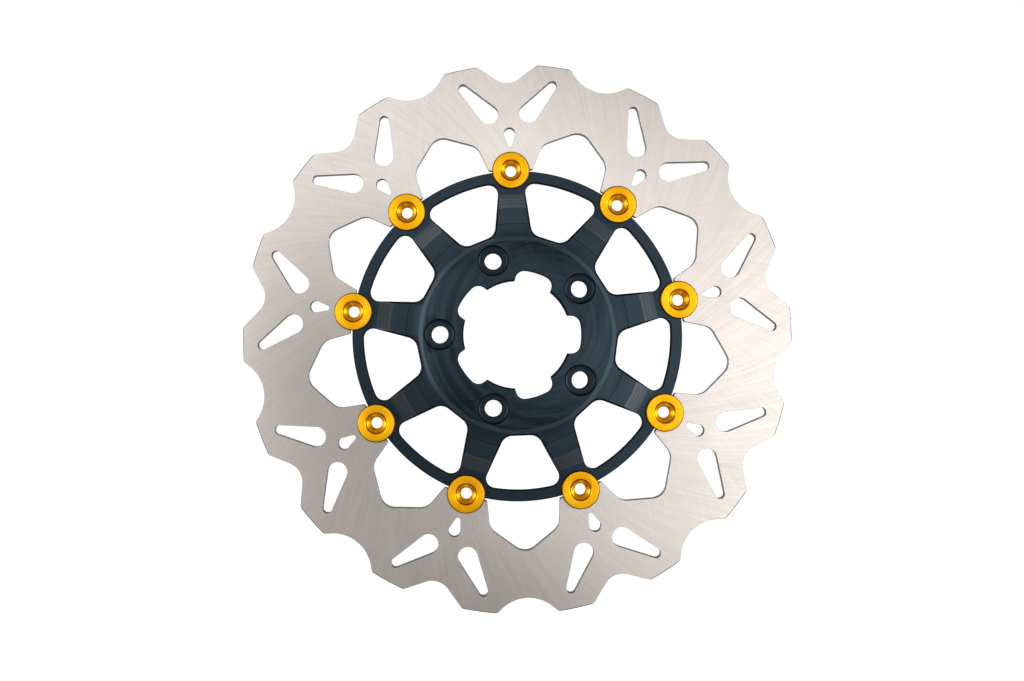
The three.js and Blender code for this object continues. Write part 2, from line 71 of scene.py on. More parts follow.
# %% Read the heights from the frame
ring_back, ring_front = (corner.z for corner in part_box("friction_ring"))
hub_back, hub_front = (corner.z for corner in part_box("carrier"))
button_back, button_front = (corner.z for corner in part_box("bobbin_1"))
print("ring from", round(ring_back / MM, 2), "to", round(ring_front / MM, 2), "mm")

# %% [markdown]
# ## The camera
#
# The disc is seen from almost straight above, close enough for the far sides to lean a little
# outwards. The camera stands 600 mm over the ring, turned round the axle, and leans a few degrees.
# A small lens shift, as on a view camera, brings the disc back to the middle of the picture
# without leaning the camera more.

# %% Camera
VIEW_TURN = radians(17.9)
VIEW_TILT = radians(4.2)
VIEW_HEIGHT = 600 * MM
VIEW_ASIDE = Vector((-18.6 * MM, -8.5 * MM, 0))

camera = bpy.data.objects.new("camera", bpy.data.cameras.new("camera"))
bpy.context.scene.collection.objects.link(camera)
camera.data.lens = 39.6
camera.data.shift_x = 0.029
camera.data.shift_y = -0.071
turned = Matrix.Rotation(VIEW_TURN, 4, "Z")
camera.matrix_world = (
    turned
    @ Matrix.Translation(VIEW_ASIDE + Vector((0, 0, ring_front + VIEW_HEIGHT)))
    @ Matrix.Rotation(VIEW_TILT, 4, "X")
)
bpy.context.scene.camera = camera
print("camera at", [round(c, 3) for c in camera.matrix_world.translation])

# %% [markdown]
# ## Floor and light
#
# A product like this is lit on a white table. The table glows by itself, which is how a light table
# hides the shadows in the slots, and it is left out of reflections, so that no metal turns white
# from it. Flat metal shows whatever hangs over it. One long soft box hangs nearly overhead, and a
# box on each side lights the ring's right and left, so it is darker towards the lower left, where
# no box is. Three low strips reach only what leans: the dishes of the buttons and the carrier's
# slope. The rest of the room is a dim grey.

# %% Floor
FLOOR_GLOW = 1.0

floor_mesh = bpy.data.meshes.new("floor")
bm = bmesh.new()
bmesh.ops.create_grid(bm, x_segments=1, y_segments=1, size=3)
bmesh.ops.translate(bm, verts=bm.verts, vec=(0, 0, hub_back - 0.05 * MM))
bm.to_mesh(floor_mesh)
bm.free()
floor = bpy.data.objects.new("floor", floor_mesh)
bpy.context.scene.collection.objects.link(floor)
floor.visible_glossy = False

table_top = bpy.data.materials.new("light_table")
table_top.use_nodes = True
table_shader = table_top.node_tree.nodes["Principled BSDF"]
table_shader.inputs["Base Color"].default_value = (0.12, 0.12, 0.12, 1)
table_shader.inputs["Roughness"].default_value = 0.9
table_shader.inputs["Specular IOR Level"].default_value = 0
table_shader.inputs["Emission Color"].default_value = (1, 1, 1, 1)
table_shader.inputs["Emission Strength"].default_value = FLOOR_GLOW
floor_mesh.materials.append(table_top)
print("floor at", floor_mesh.vertices[0].co.z)

# %% Lights
bpy.context.scene.view_settings.view_transform = "Standard"

room = bpy.data.worlds.new("room")
bpy.context.scene.world = room
room.use_nodes = True
room.node_tree.nodes["Background"].inputs["Color"].default_value = (1, 0.99, 0.975, 1)
room.node_tree.nodes["Background"].inputs["Strength"].default_value = 0.17


def soft_box(name, towards, height, aside, size, power):
    lamp = bpy.data.lights.new(name, "AREA")
    lamp.shape = "RECTANGLE"
    lamp.size, lamp.size_y = size
    lamp.energy = power
    box = bpy.data.objects.new(name, lamp)
    bpy.context.scene.collection.objects.link(box)
    box.location = turned @ Vector((aside * cos(towards), aside * sin(towards), height))
    box.rotation_euler = (-box.location).to_track_quat("-Z", "Y").to_euler()
    print(name, "at", [round(c, 2) for c in box.location])


soft_box("overhead_box", radians(45), 0.95, 0.13, (1.0, 0.36), 1.4)
soft_box("right_box", radians(4), 0.85, 0.5, (0.9, 0.45), 1.6)
soft_box("left_box", radians(172), 0.82, 0.55, (0.7, 0.4), 2.0)
soft_box("right_strip", radians(0), 0.36, 1.0, (0.4, 0.4), 11)
soft_box("left_strip", radians(180), 0.36, 1.0, (0.4, 0.4), 9)
soft_box("front_strip", radians(270), 0.45, 0.95, (0.3, 0.3), 1.2)

# %% [markdown]
# ## Outlines
#
# The ring and the carrier are cut from plate, so their shape is in their outlines. An outline here
# is a list of points in order round the shape, with each round stretch worked out as an arc. Two
# helpers make nearly all of them: one rounds the corner between two straight lines, and one
# rounds the corner between a straight line and a circle about the axle.

# %% Outline helpers
ARC_STEPS = 10


def at(radius, angle):
    return Vector((radius * cos(angle), radius * sin(angle)))


def arc(centre, radius, start, sweep, steps=ARC_STEPS):
    return [centre + at(radius, start + sweep * i / steps) for i in range(steps + 1)]


def round_corner(before, corner, after, fillet, steps=ARC_STEPS):
    back, ahead = (before - corner).normalized(), (after - corner).normalized()
    half = acos(back.dot(ahead)) / 2
    centre = corner + (back + ahead).normalized() * (fillet / sin(half))
    first = corner + back * (fillet / tan(half)) - centre
    last = corner + ahead * (fillet / tan(half)) - centre
    sweep = atan2(first.cross(last), first.dot(last))
    return arc(centre, fillet, atan2(first.y, first.x), sweep, steps)


def round_to_circle(inner, outer, circle, fillet, side, steps=ARC_STEPS):
    """Rounds the corner where the line from inner to outer meets the circle. The shape lies to
    the left of that line when side is 1, and to its right when side is -1."""
    along = (outer - inner).normalized()
    inward = Vector((-along.y, along.x)) * side
    start = inner + inward * fillet
    reach = start.dot(along)
    centre = start + along * (
        sqrt(reach**2 - start.length_squared + (circle - fillet) ** 2) - reach
    )
    first, last = -inward, centre.normalized()
    sweep = atan2(first.cross(last), first.dot(last))
    points = arc(centre, fillet, atan2(first.y, first.x), sweep, steps)
    return points if side > 0 else points[::-1]


def along_circle(after, before, steps):
    """The points of a circle about the axle between two points that lie on it."""
    sweep = atan2(after.cross(before), after.dot(before))
    start = atan2(after.y, after.x)
    return arc(Vector((0, 0)), after.length, start, sweep, steps)[1:-1]


print("an arc has", ARC_STEPS, "steps")

# %% [markdown]
# ## From an outline to a mesh
#
# A mesh can be started from nothing but an outline's edges. Triangle fill closes them to a face,
# and edges that lie inside others become holes in it. Spin turns an outline about the axle as a
# lathe does. Both leave the direction of the faces open, so the normals are recalculated at the
# end, after doubled points are merged.

# %% Mesh helpers


def add_loop(bm, points):
    verts = [bm.verts.new(point) for point in points]
    return [bm.edges.new((verts[i - 1], verts[i])) for i in range(len(verts))]


def plate(outlines, back, front, edge):
    """A flat plate with holes, whose edges are broken all round by a small chamfer."""
    bm = bmesh.new()
    edges = []
    for outline in outlines:
        edges += add_loop(bm, [point.to_3d() + Vector((0, 0, back + edge)) for point in outline])
    filled = bmesh.ops.triangle_fill(bm, use_beauty=True, edges=edges, normal=(0, 0, 1))
    bottom = [f for f in filled["geom"] if isinstance(f, bmesh.types.BMFace)]
    raised = bmesh.ops.extrude_face_region(bm, geom=bottom, use_keep_orig=True)
    top = [f for f in raised["geom"] if isinstance(f, bmesh.types.BMFace)]
    lifted = [v for v in raised["geom"] if isinstance(v, bmesh.types.BMVert)]
    bmesh.ops.translate(bm, verts=lifted, vec=(0, 0, front - back - 2 * edge))
    bmesh.ops.recalc_face_normals(bm, faces=bm.faces)
    for faces in (bottom, top):
        bmesh.ops.inset_region(
            bm, faces=faces, thickness=edge, depth=edge, use_boundary=True, use_even_offset=True
        )
    return bm


def turn(profile, steps):
    """A shape turned about the axle from a closed profile of radius and height."""
    bm = bmesh.new()
    edges = add_loop(bm, [Vector((point[0], 0, point[1])) for point in profile])
    geometry = bm.verts[:] + edges
    bmesh.ops.spin(
        bm, geom=geometry, axis=(0, 0, 1), cent=(0, 0, 0), angle=2 * pi, steps=steps, use_merge=True
    )
    bmesh.ops.remove_doubles(bm, verts=bm.verts, dist=1e-7)
    bmesh.ops.recalc_face_normals(bm, faces=bm.faces)
    return bm


def repeat(bm, angles):
    """Copies a shape round the axle, to each of the angles."""
    first = bm.verts[:] + bm.edges[:] + bm.faces[:]
    for angle in angles:
        copied = bmesh.ops.duplicate(bm, geom=first)["geom"]
        verts = [v for v in copied if isinstance(v, bmesh.types.BMVert)]
        bmesh.ops.rotate(bm, cent=(0, 0, 0), matrix=Matrix.Rotation(angle, 3, "Z"), verts=verts)
    bmesh.ops.delete(bm, geom=[v for v in first if isinstance(v, bmesh.types.BMVert)], context="VERTS")
    return bm


def as_object(bm, name, finishes):
    mesh = bpy.data.meshes.new(name)
    bm.to_mesh(mesh)
    bm.free()
    for finish in finishes:
        mesh.materials.append(finish)
    piece = bpy.data.objects.new(name, mesh)
    bpy.context.scene.collection.objects.link(piece)
    return piece


def machine(piece, cutter, operation="DIFFERENCE"):
    """Cuts a piece with a cutter, or keeps what lies inside it, and applies the result."""
    step = piece.modifiers.new("machine", "BOOLEAN")
    step.operation = operation
    step.solver = "MANIFOLD"
    step.object = cutter
    graph = bpy.context.evaluated_depsgraph_get()
    rough = piece.data
    piece.data = bpy.data.meshes.new_from_object(piece.evaluated_get(graph))
    piece.data.name = piece.name
    piece.modifiers.clear()
    bpy.data.meshes.remove(rough)
    bpy.data.meshes.remove(cutter.data)


SHARP_EDGE = radians(28)


def show(piece, body, node):
    """Shades a piece, hides the plain node that it stands for and lets it ride on its body."""
    piece.data.shade_smooth()
    piece.data.set_sharp_from_angle(angle=SHARP_EDGE)
    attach(piece, body)
    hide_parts(node)
    return piece


print("mesh helpers are ready")

# %% [markdown]
# ## Finishes from nodes
#
# Every finish starts as Blender's Principled shader, and a few small nodes change it from place to
# place: the marks of the grinder, the rings of the lathe, the wear. The helpers below only save
# typing: one adds a node and links what it is given, one does arithmetic, and one fades from one
# value to another.

# %% Node helpers


def new_finish(name, **values):
    finish = bpy.data.materials.new(name)
    finish.use_nodes = True
    shader = finish.node_tree.nodes["Principled BSDF"]
    for socket, value in values.items():
        shader.inputs[socket.replace("_", " ")].default_value = value
    return finish


def add(finish, kind, inputs=(), **settings):
    node = finish.node_tree.nodes.new(kind)
    for name, value in settings.items():
        setattr(node, name, value)
    for socket, value in dict(inputs).items():
        if isinstance(value, bpy.types.NodeSocket):
            finish.node_tree.links.new(value, node.inputs[socket])
        else:
            node.inputs[socket].default_value = value
    return node


def maths(finish, operation, *values):
    return add(finish, "ShaderNodeMath", enumerate(values), operation=operation).outputs[0]


def fade(finish, value, start, end, low, high):
    """Goes smoothly from low to high while the value goes from start to end."""
    inputs = {"Value": value, "From Min": start, "From Max": end, "To Min": low, "To Max": high}
    node = add(finish, "ShaderNodeMapRange", inputs, interpolation_type="SMOOTHSTEP")
    return node.outputs["Result"]


def noise(finish, vector, scale, detail, roughness):
    inputs = {"Vector": vector, "Scale": scale, "Detail": detail, "Roughness": roughness}
    return add(finish, "ShaderNodeTexNoise", inputs).outputs["Fac"]


def tint(finish, factor, first, second):
    """Mixes two colours, each of them three numbers or the colour of another node."""
    node = add(finish, "ShaderNodeMix", data_type="RGBA")
    for socket, value in (("Factor", factor), ("A", first), ("B", second)):
        end = next(s for s in node.inputs if s.name == socket and s.enabled)
        if isinstance(value, bpy.types.NodeSocket):
            finish.node_tree.links.new(value, end)
        else:
            end.default_value = (*value, 1)
    return next(s for s in node.outputs if s.enabled)


def link(finish, output, socket):
    shader = finish.node_tree.nodes["Principled BSDF"]
    finish.node_tree.links.new(output, shader.inputs[socket])


def place_on(finish):
    """The point's place on the disc."""
    return add(finish, "ShaderNodeTexCoord").outputs["Object"]


def position(finish):
    """The point's place, its x, y and z, and its distance and direction from the axle."""
    place = place_on(finish)
    xyz = add(finish, "ShaderNodeSeparateXYZ", {0: place}).outputs
    squares = maths(finish, "ADD", maths(finish, "MULTIPLY", xyz[0], xyz[0]),
                    maths(finish, "MULTIPLY", xyz[1], xyz[1]))
    distance = maths(finish, "SQRT", squares)
    direction = maths(finish, "ARCTAN2", xyz[1], xyz[0])
    return place, xyz, distance, direction


def bump(finish, height, depth, strength):
    """Raises the surface by the height, which goes from 0 to 1, times a depth in metres."""
    node = add(finish, "ShaderNodeBump", {"Height": height, "Distance": depth, "Strength": strength})
    link(finish, node.outputs["Normal"], "Normal")


def from_nearest_axis(finish, xyz, direction, count, circle):
    """The vector and the distance from the nearest of the axes that stand on a circle."""
    step = 2 * pi / count
    steps = maths(finish, "DIVIDE", maths(finish, "SUBTRACT", direction, FIRST_STATION), step)
    angle = maths(finish, "MULTIPLY_ADD", maths(finish, "ROUND", steps), step, FIRST_STATION)
    axis_x = maths(finish, "MULTIPLY", maths(finish, "COSINE", angle), circle)
    axis_y = maths(finish, "MULTIPLY", maths(finish, "SINE", angle), circle)
    offset = {
        "X": maths(finish, "SUBTRACT", xyz[0], axis_x),
        "Y": maths(finish, "SUBTRACT", xyz[1], axis_y),
        "Z": 0.0,
    }
    vector = add(finish, "ShaderNodeCombineXYZ", offset).outputs[0]
    length = add(finish, "ShaderNodeVectorMath", {0: vector}, operation="LENGTH").outputs["Value"]
    return vector, length


def rough_along(finish, vector):
    """Tells the shader the direction in which its surface is roughest, across the tool marks."""
    world = add(finish, "ShaderNodeVectorTransform", {0: vector}, vector_type="VECTOR",
                convert_from="OBJECT", convert_to="WORLD")
    link(finish, world.outputs[0], "Tangent")


print("node helpers are ready")

# %% [markdown]
# ## Ground steel
#
# The two faces of the ring are ground by a wheel that sweeps across them in long shallow curves,
# first one way and then the other, so fine lines cross each other at a steep angle. A straight
# texture can't follow a ring. Here a line is a spiral that keeps the same angle to the radius all
# the way out: its direction changes with the logarithm of its distance from the axle. The
# noise is read along that spiral, stretched, and once for each way the wheel went.

# %% Ground steel
ground_steel = new_finish(
    "ground_steel", Metallic=1.0, Roughness=0.4, Base_Color=(0.7, 0.64, 0.59, 1), Anisotropic=0.5
)


def grinding_lines(finish, distance, direction, angle, finest, length):
    """Noise in lines that cross the radius at an angle. finest is the width of a line."""
    spiral = maths(finish, "MULTIPLY", maths(finish, "LOGARITHM", distance, 2.718282), tan(angle))
    around = maths(finish, "SUBTRACT", direction, spiral)
    lines = 120 * MM / finest
    inputs = {
        "X": maths(finish, "MULTIPLY", maths(finish, "COSINE", around), lines),
        "Y": maths(finish, "MULTIPLY", maths(finish, "SINE", around), lines),
        "Z": maths(finish, "DIVIDE", distance, length),
    }
    vector = add(finish, "ShaderNodeCombineXYZ", inputs).outputs[0]
    return noise(finish, vector, 1.0, 3, 0.6)


place, xyz, distance, direction = position(ground_steel)
leaning = grinding_lines(ground_steel, distance, direction, radians(28), 0.45 * MM, 22 * MM)
crossing = grinding_lines(ground_steel, distance, direction, radians(-25), 0.4 * MM, 18 * MM)
broad = grinding_lines(ground_steel, distance, direction, radians(30), 1.8 * MM, 50 * MM)
lines = maths(ground_steel, "ADD", maths(ground_steel, "MULTIPLY", leaning, 0.62),
              maths(ground_steel, "MULTIPLY", crossing, 0.38))
cloud = noise(ground_steel, place, 28, 3, 0.55)
speck = grinding_lines(ground_steel, distance, direction, radians(34), 0.5 * MM, 2.5 * MM)
speck_mask = fade(ground_steel, speck, 0.71, 0.78, 0, 1)
shine = maths(ground_steel, "ADD", maths(ground_steel, "MULTIPLY", lines, 0.62),
              maths(ground_steel, "ADD", maths(ground_steel, "MULTIPLY", broad, 0.2),
                    maths(ground_steel, "MULTIPLY", cloud, 0.18)))
steel_tone = tint(ground_steel, fade(ground_steel, shine, 0.33, 0.67, 0, 1),
                  (0.6, 0.553, 0.507), (0.745, 0.69, 0.64))
link(ground_steel, tint(ground_steel, speck_mask, steel_tone, (0.33, 0.3, 0.28)), "Base Color")
link(ground_steel, fade(ground_steel, lines, 0.3, 0.7, 0.38, 0.29), "Roughness")
bump(ground_steel, lines, 0.006 * MM, 0.6)
rough_along(ground_steel, add(ground_steel, "ShaderNodeVectorMath", {0: (0, 0, 1), 1: place},
                              operation="CROSS_PRODUCT").outputs[0])
print("ground steel has", len(ground_steel.node_tree.nodes), "nodes")

# %% [markdown]
# The slots, windows and the wavy edge are cut by a laser and never ground, so their walls keep the
# dark blue-grey skin of the hardened steel, with fine lines along the cutting beam, which here is
# the axle's direction. Towards the back the walls are painted lighter, as painted light from the
# glowing table below.

# %% Cut steel walls
cut_steel = new_finish("cut_steel", Metallic=0.4, Roughness=0.5, Base_Color=(0.12, 0.13, 0.15, 1))
place, xyz = position(cut_steel)[:2]
beam_marks = add(cut_steel, "ShaderNodeMapping", {"Vector": place, "Scale": (1, 1, 0.08)})
striae = noise(cut_steel, beam_marks.outputs[0], 3200, 2, 0.6)
patches = noise(cut_steel, place, 160, 3, 0.6)
skin = maths(cut_steel, "ADD", maths(cut_steel, "MULTIPLY", striae, 0.5),
             maths(cut_steel, "MULTIPLY", patches, 0.5))
# Painted light: the walls are painted lighter towards the back of the ring, as if lit by the glowing
# table.
painted_table_light = fade(cut_steel, xyz[2], ring_back, ring_front - 1 * MM, 1.6, 0)
wall_tone = maths(cut_steel, "ADD", fade(cut_steel, skin, 0.35, 0.65, 0, 0.5), painted_table_light)
link(cut_steel, tint(cut_steel, wall_tone, (0.045, 0.06, 0.075), (0.36, 0.39, 0.41)), "Base Color")
link(cut_steel, fade(cut_steel, striae, 0.3, 0.7, 0.42, 0.62), "Roughness")
bump(cut_steel, striae, 0.02 * MM, 0.6)

# Painted shade: the chamfers and broken edges are painted dark grey, far darker than the ground faces,
# as a dark line along each edge.
chamfer_painted_shade = new_finish(
    "chamfer_painted_shade", Metallic=1.0, Roughness=0.4, Base_Color=(0.2, 0.195, 0.19, 1)
)
rub = noise(chamfer_painted_shade, place_on(chamfer_painted_shade), 900, 3, 0.6)
link(chamfer_painted_shade, tint(chamfer_painted_shade, fade(chamfer_painted_shade, rub, 0.35, 0.65, 0, 1),
                          (0.13, 0.125, 0.12), (0.27, 0.26, 0.25)), "Base Color")
link(chamfer_painted_shade, fade(chamfer_painted_shade, rub, 0.35, 0.65, 0.5, 0.36), "Roughness")
print("cut steel has", len(cut_steel.node_tree.nodes), "nodes")

# %% [markdown]
# ## The friction ring
#
# The wavy edge lets mud and water fly off and gives the pads fresh edges. It isn't a sine wave:
# eighteen lobes stand on the outer circle, and between them are V-shaped valleys with round
# bottoms, a narrow one over each button and a wide one between two buttons. The outline is one
# list of corners, repeated at each button. Its outer circle is a hair smaller than the frame's, so
# that the smooth lobes stay inside the frame's box.

# %% The wavy outer edge
RING_RADIUS = 145.98 * MM
NARROW_VALLEY = 133.3 * MM, radians(6.35), 10.6 * MM
WIDE_VALLEY = 129.2 * MM, radians(6.29), 20.5 * MM
LOBE_FILLET = 3 * MM


def wavy_edge():
    points = []
    valleys = []
    for station in stations:
        valleys += [(station, *NARROW_VALLEY), (station + pi / STATIONS, *WIDE_VALLEY)]
    for i, (angle, apex, half, fillet) in enumerate(valleys):
        next_angle, next_apex, next_half, _ = valleys[(i + 1) % len(valleys)]
        bottom, next_bottom = at(apex, angle), at(next_apex, next_angle)
        rise, fall = at(RING_RADIUS, angle + half), at(RING_RADIUS, next_angle - next_half)
        points += round_corner(at(RING_RADIUS, angle - half), bottom, rise, fillet, 16)
        first = round_to_circle(bottom, rise, RING_RADIUS, LOBE_FILLET, 1)
        last = round_to_circle(next_bottom, fall, RING_RADIUS, LOBE_FILLET, -1)
        points += first + along_circle(first[-1], last[0], 8) + last
    return points


outer_edge = wavy_edge()
print("the wavy edge has", len(outer_edge), "points")

# %% [markdown]
# On the inside, nine tabs reach in to the buttons. Each ends in a half-round notch that takes half
# of a button, and between two tabs is a window shaped like a house, with its roof pointing out.

# %% The inner edge
TAB_END = 89 * MM
TAB_HALF_ANGLE = radians(7.6)
BUTTON_CIRCLE = 88.05 * MM
NOTCH_RADIUS = 7.3 * MM
SHOULDER = 103.1 * MM, radians(10.2)
ROOF = 115.3 * MM


def inner_edge():
    mouth = (TAB_END**2 + BUTTON_CIRCLE**2 - NOTCH_RADIUS**2) / (2 * BUTTON_CIRCLE) - BUTTON_CIRCLE
    opening = acos(mouth / NOTCH_RADIUS)
    points = []
    for station in stations:
        middle = station + pi / STATIONS
        next_tab = station + 2 * pi / STATIONS
        points += arc(at(BUTTON_CIRCLE, station), NOTCH_RADIUS, station - opening, 2 * opening, 24)
        house = [
            (at(TAB_END, station + TAB_HALF_ANGLE / 2), 0),
            (at(TAB_END, station + TAB_HALF_ANGLE), 1.5 * MM),
            (at(SHOULDER[0], middle - SHOULDER[1]), 8 * MM),
            (at(ROOF, middle), 8 * MM),
            (at(SHOULDER[0], middle + SHOULDER[1]), 8 * MM),
            (at(TAB_END, next_tab - TAB_HALF_ANGLE), 1.5 * MM),
            (at(TAB_END, next_tab - TAB_HALF_ANGLE / 2), 0),
        ]
        for before, (corner, fillet), after in zip(house, house[1:-1], house[2:]):
            points += round_corner(before[0], corner, after[0], fillet)
    return points


tabs_and_windows = inner_edge()
print("the inner edge has", len(tabs_and_windows), "points")

# %% [markdown]
# Each slot is a drop: two circles of different size and the two straight lines that touch both.
# The slots stand in pairs either side of a button's line, and a small drop lies on the line.

# %% Slots and drops


def drop(station, side, inner, outer):
    """inner and outer are each a distance across, a distance out and a radius, in mm."""
    along, across = at(1, station), at(side, station - pi / 2)
    near, far = (across * end[0] * MM + along * end[1] * MM for end in (inner, outer))
    heading = atan2((far - near).y, (far - near).x)
    wrap = acos((inner[2] - outer[2]) * MM / (far - near).length)
    return (
        arc(near, inner[2] * MM, heading + wrap, 2 * pi - 2 * wrap, 32)
        + arc(far, outer[2] * MM, heading - wrap, 2 * wrap, 24)
    )


holes = []
for station in stations:
    for side in (1, -1):
        holes.append(drop(station, side, (10.85, 118.95, 5.25), (24.15, 133.4, 2.5)))
    holes.append(drop(station, 1, (0, 102.4, 1.3), (0, 108.3, 3.1)))
print(len(holes), "slots and drops")

# %% [markdown]
# The blank is turned before the wave is cut, so the outer circle has a small chamfer and the
# valleys have none. The cut plate is therefore kept only where it lies inside a turned blank with
# chamfered edges. All other edges are just broken, so that they catch a thin line of light. The
# chamfers and broken edges are painted a dark grey, as painted shade along every edge.

# %% Cut the ring
CHAMFER = 0.45 * MM
EDGE_BREAK = 0.1 * MM

ring = as_object(
    plate([outer_edge, tabs_and_windows] + holes, ring_back, ring_front, EDGE_BREAK),
    "ground_friction_ring", [ground_steel, cut_steel, chamfer_painted_shade],
)
blank = as_object(
    turn(
        [
            (60 * MM, ring_back - MM),
            (RING_RADIUS - CHAMFER - MM, ring_back - MM),
            (RING_RADIUS, ring_back + CHAMFER),
            (RING_RADIUS, ring_front - CHAMFER),
            (RING_RADIUS - CHAMFER - MM, ring_front + MM),
            (60 * MM, ring_front + MM),
        ],
        720,
    ),
    "blank", [ground_steel, cut_steel, chamfer_painted_shade],
)
machine(ring, blank, "INTERSECT")
# Flat faces get the ground steel, steep ones the cut walls, and the chamfers and broken edges the dark
# grey painted shade.
for face in ring.data.polygons:
    flatness = abs(face.normal.z)
    face.material_index = 0 if flatness > 0.95 else 2 if flatness > 0.3 else 1
show(ring, "friction_ring", "friction_ring")
print("ring:", len(ring.data.polygons), "faces")

# %% [markdown]
# ## Black anodised aluminium
#
# The carrier is turned from aluminium plate and then anodised black. Anodising is thin and follows
# every tool mark, so the lathe's rings stay visible as fine circles, and each turned step has
# its own tone because the tool ran at another feed there. Thin bright lines at the hub's shoulder
# and at the top of the slope are painted highlights, and a thin dark line at the step's edge is
# painted shade. The slope took the dye less deeply, and shows fine grey stripes. The hub was
# skimmed last by a wide rotating cutter, which leaves arcs that cross the circles. The shader is
# rough across the lathe's rings, which is along the radius.

# %% Black anodised aluminium
BOLTS = 5
BOLT_CIRCLE = 41.275 * MM

black_anodised = new_finish(
    "black_anodised", Metallic=0.6, Roughness=0.36, Base_Color=(0.02, 0.034, 0.045, 1),
    Specular_IOR_Level=0.2, Anisotropic=0.35,
)


def rings(finish, distance, spacing, detail=2):
    """The marks of a lathe: noise that changes only with the distance from an axis."""
    inputs = {"W": maths(finish, "DIVIDE", distance, spacing), "Scale": 1.0, "Detail": detail,
              "Roughness": 0.65}
    return add(finish, "ShaderNodeTexNoise", inputs, noise_dimensions="1D").outputs["Fac"]


def bands(finish, distance, edges):
    """A tone for each turned step: edges are a radius in mm and the tone outside it."""
    ramp = add(finish, "ShaderNodeValToRGB", {0: maths(finish, "DIVIDE", distance, 90 * MM)})
    ramp.color_ramp.interpolation = "CONSTANT"
    stops = ramp.color_ramp.elements
    while len(stops) < len(edges):
        stops.new(1)
    for stop, (radius, tone) in zip(stops, edges):
        stop.position = radius / 90
        stop.color = (tone, tone, tone, 1)
    return ramp.outputs["Color"]


place, xyz, distance, direction = position(black_anodised)
fine_rings = rings(black_anodised, distance, 0.22 * MM)
wide_rings = rings(black_anodised, distance, 1.6 * MM)
on_slope = maths(black_anodised, "MULTIPLY",
                 fade(black_anodised, distance, 67.6 * MM, 68.2 * MM, 0, 1),
                 fade(black_anodised, distance, 72 * MM, 76.5 * MM, 1, 0))
vector, reach = from_nearest_axis(black_anodised, xyz, direction, BOLTS, BOLT_CIRCLE)
in_seat = fade(black_anodised, reach, 7.8 * MM, 8.5 * MM, 1, 0)
# Besides a tone for each step, the bands paint highlights as bright lines at 50.2 to 52.1 mm and 67.7
# to 68.1 mm, and painted shade as a dark line at 58.8 to 59.4 mm.
tone = bands(black_anodised, distance, [
    (0, 0.27), (50.2, 0.85), (52.1, 0.4), (58.8, 0.05), (59.4, 0.47),
    (67.7, 1.0), (68.1, 0.66), (75, 0.4), (86.9, 0.3),
])


def swirls(finish, xyz, centre, spacing):
    """Arcs round a centre that isn't the axle, as a wide face cutter leaves."""
    aside = maths(finish, "SUBTRACT", xyz[0], centre[0])
    along = maths(finish, "SUBTRACT", xyz[1], centre[1])
    reach = maths(finish, "SQRT", maths(finish, "ADD", maths(finish, "MULTIPLY", aside, aside),
                                        maths(finish, "MULTIPLY", along, along)))
    return rings(finish, reach, spacing)


wide_arcs = swirls(black_anodised, xyz, (0.012, 0.009), 3.5 * MM)
cross_arcs = swirls(black_anodised, xyz, (-0.034, 0.018), 5 * MM)
skim = maths(black_anodised, "ADD", maths(black_anodised, "MULTIPLY", wide_arcs, 0.7),
             maths(black_anodised, "MULTIPLY", cross_arcs, 0.3))
skim = fade(black_anodised, skim, 0.36, 0.64, 0, 1)
on_hub = fade(black_anodised, xyz[2], hub_front - 0.3 * MM, hub_front - 0.05 * MM, 0, 1)
hub_marks = maths(black_anodised, "MULTIPLY", maths(black_anodised, "MULTIPLY", skim, on_hub), 0.65)
marks = maths(black_anodised, "ADD", maths(black_anodised, "MULTIPLY", fine_rings, 0.28),
              maths(black_anodised, "ADD", maths(black_anodised, "MULTIPLY", wide_rings, 0.14),
                    hub_marks))
shade = maths(black_anodised, "ADD", tone, maths(black_anodised, "MULTIPLY_ADD", marks, 0.3, -0.11))
slope_rings = rings(black_anodised, distance, 0.7 * MM, 1)
stripes = maths(black_anodised, "MULTIPLY_ADD", slope_rings, 1.2, -0.6)
shade = maths(black_anodised, "MULTIPLY_ADD", stripes, on_slope, shade)
dye = noise(black_anodised, place, 45, 3, 0.55)
shade = maths(black_anodised, "ADD", shade, maths(black_anodised, "MULTIPLY_ADD", dye, 0.3, -0.15))
dyed = tint(black_anodised, shade, (0.001, 0.008, 0.015), (0.046, 0.072, 0.091))
less_dyed = tint(black_anodised, shade, (0.008, 0.012, 0.016), (0.076, 0.088, 0.098))
link(black_anodised, tint(black_anodised, on_slope, dyed, less_dyed), "Base Color")
seat_dullness = maths(black_anodised, "MULTIPLY", in_seat, 0.2)
dull = maths(black_anodised, "MULTIPLY_ADD", on_slope, -0.09, seat_dullness)
mark_roughness = fade(black_anodised, marks, 0.3, 0.9, 0.27, 0.36)
link(black_anodised, maths(black_anodised, "ADD", mark_roughness, dull), "Roughness")
bump(black_anodised, marks, 0.004 * MM, 0.7)
outward = add(black_anodised, "ShaderNodeCombineXYZ", {"X": xyz[0], "Y": xyz[1]})
rough_along(black_anodised, outward.outputs[0])
print("black anodised has", len(black_anodised.node_tree.nodes), "nodes")

# %% [markdown]
# The walls and the flared window edges are milled, not turned. They are black anodised, and painted
# nearly black with almost no shine, as painted shade for faces that turn away from the light.

